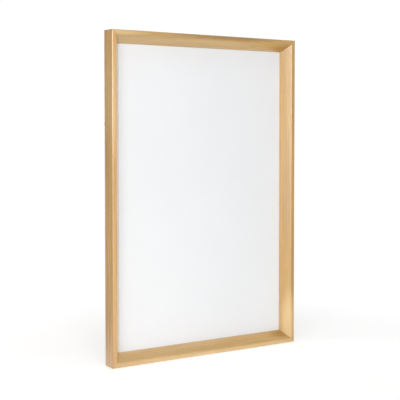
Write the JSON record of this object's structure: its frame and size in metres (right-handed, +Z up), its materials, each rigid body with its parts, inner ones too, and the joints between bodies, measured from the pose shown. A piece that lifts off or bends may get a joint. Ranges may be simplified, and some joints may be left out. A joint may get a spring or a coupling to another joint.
{
  "type": "floating frame",
  "caption": "Deep wooden floating frame: thin mitred lip, inner walls raked in to a recessed blank white board, with strap hangers, turn buttons and bumpers behind.",
  "frame": {"origin": "middle of the wall plane, in which the rear faces of the four bumpers lie", "axes": "+X to the right seen from the front, +Y from the front towards the wall, +Z up"},
  "size_m": [0.635, 0.053, 0.935],
  "materials": {
    "frame_wood": "satin lacquered pale hardwood",
    "white_board": "smooth satin white face on fibreboard",
    "strainer_wood": "bare planed softwood",
    "hardboard": "bare hardboard",
    "zinc_plate": "zinc-plated steel",
    "nickel_plate": "bright nickel-plated steel",
    "nail_steel": "bare spring steel",
    "rubber": "matt"
  },
  "bodies": {
    "frame": {"rail_bottom": "frame_wood", "rail_left": "frame_wood", "rail_top": "frame_wood", "rail_right": "frame_wood", "v_nail_bottom_left_outer": "nail_steel", "v_nail_bottom_left_inner": "nail_steel", "v_nail_bottom_right_outer": "nail_steel", "v_nail_bottom_right_inner": "nail_steel", "v_nail_top_left_outer": "nail_steel", "v_nail_top_left_inner": "nail_steel", "v_nail_top_right_outer": "nail_steel", "v_nail_top_right_inner": "nail_steel", "float_panel": "white_board", "strainer_top": "strainer_wood", "strainer_bottom": "strainer_wood", "strainer_left": "strainer_wood", "strainer_right": "strainer_wood", "strainer_crossbar": "strainer_wood", "backing_board": "hardboard", "button_screw_bottom_1": "zinc_plate", "button_screw_bottom_2": "zinc_plate", "button_screw_top_1": "zinc_plate", "button_screw_top_2": "zinc_plate", "button_screw_left_1": "zinc_plate", "button_screw_left_2": "zinc_plate", "button_screw_left_3": "zinc_plate", "button_screw_right_1": "zinc_plate", "button_screw_right_2": "zinc_plate", "button_screw_right_3": "zinc_plate", "hanger_strap_left": "nickel_plate", "hanger_strap_right": "nickel_plate", "hanger_screw_left_upper": "zinc_plate", "hanger_screw_left_lower": "zinc_plate", "hanger_screw_right_upper": "zinc_plate", "hanger_screw_right_lower": "zinc_plate", "bumper_bottom_left": "rubber", "bumper_bottom_right": "rubber", "bumper_top_left": "rubber", "bumper_top_right": "rubber"},
    "button_bottom_1": {"turn_button_bottom_1": "zinc_plate"},
    "button_bottom_2": {"turn_button_bottom_2": "zinc_plate"},
    "button_top_1": {"turn_button_top_1": "zinc_plate"},
    "button_top_2": {"turn_button_top_2": "zinc_plate"},
    "button_left_1": {"turn_button_left_1": "zinc_plate"},
    "button_left_2": {"turn_button_left_2": "zinc_plate"},
    "button_left_3": {"turn_button_left_3": "zinc_plate"},
    "button_right_1": {"turn_button_right_1": "zinc_plate"},
    "button_right_2": {"turn_button_right_2": "zinc_plate"},
    "button_right_3": {"turn_button_right_3": "zinc_plate"},
    "ring_left": {"hanger_ring_left": "nickel_plate"},
    "ring_right": {"hanger_ring_right": "nickel_plate"}
  },
  "joints": [
    {"name": "button_turn_bottom_1", "type": "hinge", "parent": "frame", "child": "button_bottom_1", "pos_m": [-0.16, -0.0052, -0.45925], "axis": [0, 1, 0], "continuous": true},
    {"name": "button_turn_bottom_2", "type": "hinge", "parent": "frame", "child": "button_bottom_2", "pos_m": [0.16, -0.0052, -0.45925], "axis": [0, 1, 0], "continuous": true},
    {"name": "button_turn_top_1", "type": "hinge", "parent": "frame", "child": "button_top_1", "pos_m": [0.16, -0.0052, 0.45925], "axis": [0, 1, 0], "continuous": true},
    {"name": "button_turn_top_2", "type": "hinge", "parent": "frame", "child": "button_top_2", "pos_m": [-0.16, -0.0052, 0.45925], "axis": [0, 1, 0], "continuous": true},
    {"name": "button_turn_left_1", "type": "hinge", "parent": "frame", "child": "button_left_1", "pos_m": [-0.30925, -0.0052, 0.3], "axis": [0, 1, 0], "continuous": true},
    {"name": "button_turn_left_2", "type": "hinge", "parent": "frame", "child": "button_left_2", "pos_m": [-0.30925, -0.0052, 0], "axis": [0, 1, 0], "continuous": true},
    {"name": "button_turn_left_3", "type": "hinge", "parent": "frame", "child": "button_left_3", "pos_m": [-0.30925, -0.0052, -0.3], "axis": [0, 1, 0], "continuous": true},
    {"name": "button_turn_right_1", "type": "hinge", "parent": "frame", "child": "button_right_1", "pos_m": [0.30925, -0.0052, -0.3], "axis": [0, 1, 0], "continuous": true},
    {"name": "button_turn_right_2", "type": "hinge", "parent": "frame", "child": "button_right_2", "pos_m": [0.30925, -0.0052, 0], "axis": [0, 1, 0], "continuous": true},
    {"name": "button_turn_right_3", "type": "hinge", "parent": "frame", "child": "button_right_3", "pos_m": [0.30925, -0.0052, 0.3], "axis": [0, 1, 0], "continuous": true},
    {"name": "ring_swing_left", "type": "hinge", "parent": "frame", "child": "ring_left", "pos_m": [-0.307, -0.00315, 0.215], "axis": [1, 0, 0], "range_deg": [0, 180]},
    {"name": "ring_swing_right", "type": "hinge", "parent": "frame", "child": "ring_right", "pos_m": [0.307, -0.00315, 0.215], "axis": [1, 0, 0], "range_deg": [0, 180]}
  ]
}
